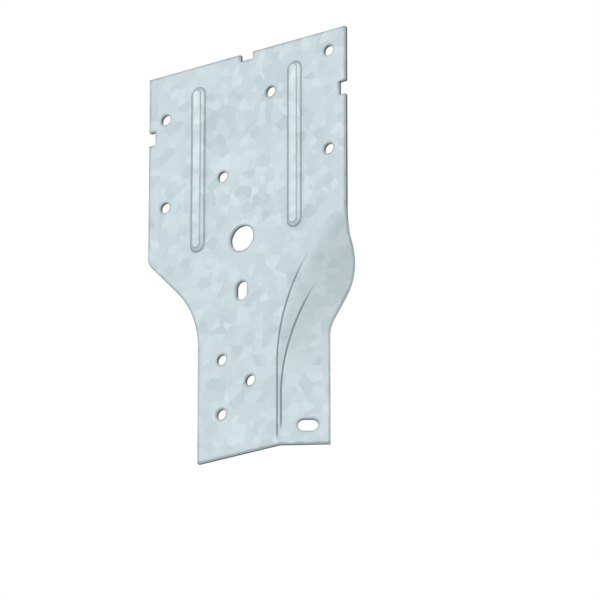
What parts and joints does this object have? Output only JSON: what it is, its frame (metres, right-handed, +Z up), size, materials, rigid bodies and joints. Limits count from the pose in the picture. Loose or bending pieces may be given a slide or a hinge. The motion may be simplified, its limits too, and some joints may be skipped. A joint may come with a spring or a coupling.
{
  "type": "stud plate tie",
  "caption": "Stamped galvanised steel tie with a wide beaded, notched head and a narrower leg, part of it folded back along a curved crease, that ties a wall stud to the plate above it.",
  "frame": {"origin": "on the back face, on the head's centre line, half way up the height of the head that lies on the plate above the stud", "axes": "+X to the right seen from the front, +Y out of the back face into the wood it is fixed to, +Z up, towards the head's top edge"},
  "size_m": [0.094, 0.0131, 0.1725],
  "materials": {
    "galvanised_steel": "hot-dip galvanised, dull with a faint spangle"
  },
  "bodies": {
    "root": {"tie_plate": "galvanised_steel"}
  },
  "joints": []
}
